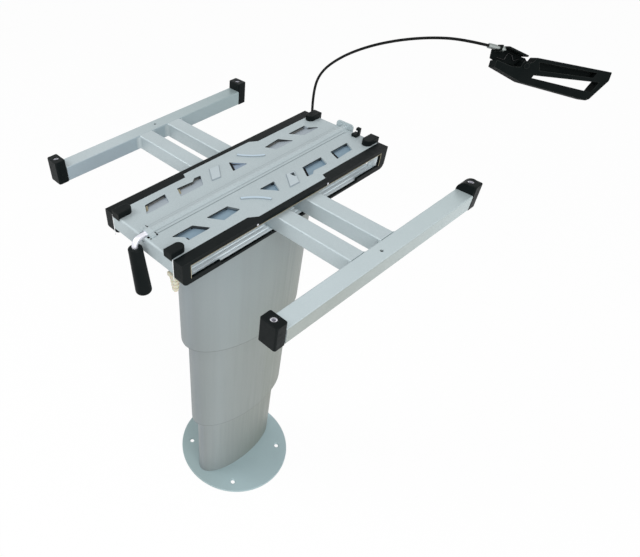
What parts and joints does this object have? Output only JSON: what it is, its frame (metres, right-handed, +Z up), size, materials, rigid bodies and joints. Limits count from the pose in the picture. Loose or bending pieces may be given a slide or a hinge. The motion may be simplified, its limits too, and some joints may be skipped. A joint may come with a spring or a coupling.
{
  "type": "single pole camper table base",
  "caption": "Oval telescopic table column on a round floor plate, with a carriage that lets a tube frame for the table top slide both ways, a clamp lever and a cable release handle.",
  "frame": {"origin": "centre of the floor plate's underside, on the floor", "axes": "+Z up the column, +X along the arms of the tube frame, +Y along the carriage"},
  "size_m": [0.457, 0.7969, 0.7789],
  "materials": {
    "column_grey": "satin powder coat",
    "floor_plate_grey": "satin",
    "silver_paint": "satin silver",
    "dark_paint": "satin",
    "black_plastic": "moulded",
    "cable_black": "smooth casing",
    "zinc": "zinc plated",
    "black_steel": "blackened",
    "polished_steel": "polished",
    "strip_aluminium": "extruded",
    "cream_nylon": "moulded",
    "dark_nylon": "moulded",
    "shoe_steel": "plain"
  },
  "bodies": {
    "base": {"base_plate": "floor_plate_grey", "base_tube": "column_grey", "base_glide": "dark_nylon", "spring_foot": "zinc", "spring_rod": "polished_steel"},
    "middle_stage": {"middle_tube": "column_grey", "middle_wiper": "dark_nylon", "middle_glide": "dark_nylon", "spring_stage": "polished_steel"},
    "cross_slide": {"slide_block": "dark_nylon", "left_slide_cover": "dark_nylon", "right_slide_cover": "dark_nylon", "clamp_shoe": "shoe_steel"},
    "top_frame": {"near_arm": "silver_paint", "far_arm": "silver_paint", "left_crossbar": "silver_paint", "right_crossbar": "silver_paint", "cap_left_far": "black_plastic", "cap_left_near": "black_plastic", "cap_right_far": "black_plastic", "cap_right_near": "black_plastic", "cap_inserts": "zinc", "frame_welds": "silver_paint"},
    "clamp_lever": {"clamp_shaft": "zinc", "lever_grip": "black_plastic"},
    "release_lever": {"pull_lever": "black_plastic"},
    "rocker": {"release_rocker": "zinc"},
    "valve": {"valve_pin": "zinc"},
    "carriage": {"bezel_rivets": "zinc", "bumper_front_left": "black_plastic", "bumper_front_right": "black_plastic", "bumper_rear_left": "black_plastic", "bumper_rear_right": "black_plastic", "cable_adjuster": "zinc", "cable_ferrule": "zinc", "cable_gland": "black_plastic", "carriage_tray": "silver_paint", "column_head": "dark_paint", "front_bracket": "silver_paint", "front_bush": "zinc", "handle_holder": "dark_paint", "handle_pin": "black_steel", "handle_spring": "black_steel", "head_bolts": "zinc", "left_bezel": "black_plastic", "left_guide_strip": "strip_aluminium", "nylon_guide": "cream_nylon", "rear_bracket": "silver_paint", "rear_clip": "black_plastic", "release_cable": "cable_black", "right_bezel": "black_plastic", "right_guide_strip": "strip_aluminium", "rocker_pin": "zinc", "spring_bracket": "dark_paint", "spring_cylinder": "dark_paint", "spring_pin": "zinc", "top_plate": "silver_paint", "top_tube": "column_grey", "top_wiper": "dark_nylon"}
  },
  "joints": [
    {"name": "column_lower", "type": "slide", "parent": "base", "child": "middle_stage", "axis": [0, 0, 1], "range_m": [-0.165, 0]},
    {"name": "column_upper", "type": "slide", "parent": "middle_stage", "child": "carriage", "axis": [0, 0, 1], "range_m": [-0.165, 0]},
    {"name": "frame_lengthwise", "type": "slide", "parent": "carriage", "child": "cross_slide", "axis": [0, 1, 0], "range_m": [-0.092, 0.086]},
    {"name": "frame_crosswise", "type": "slide", "parent": "cross_slide", "child": "top_frame", "axis": [1, 0, 0], "range_m": [-0.092, 0.108]},
    {"name": "clamp_turn", "type": "hinge", "parent": "carriage", "child": "clamp_lever", "pos_m": [0, -0.1945, 0.6885], "axis": [0, 1, 0], "range_deg": [0, 90]},
    {"name": "handle_pull", "type": "hinge", "parent": "carriage", "child": "release_lever", "pos_m": [0.11144, 0.47979, 0.73135], "axis": [0.7554, -0.559, 0.342], "range_deg": [0, 12], "stiffness_Nm_per_rad": 4},
    {"name": "rocker_tilt", "type": "hinge", "parent": "carriage", "child": "rocker", "pos_m": [0, 0.025, 0.6443], "axis": [1, 0, 0], "range_deg": [0, 6]},
    {"name": "valve_press", "type": "slide", "parent": "carriage", "child": "valve", "axis": [0, 0, -1], "range_m": [0, 0.003]}
  ],
  "couplings": [
    {"joint": "column_upper", "follows": "column_lower", "ratio": 1},
    {"joint": "rocker_tilt", "follows": "handle_pull", "ratio": 0.4775},
    {"joint": "valve_press", "follows": "handle_pull", "m_per_rad": 0.01194}
  ]
}
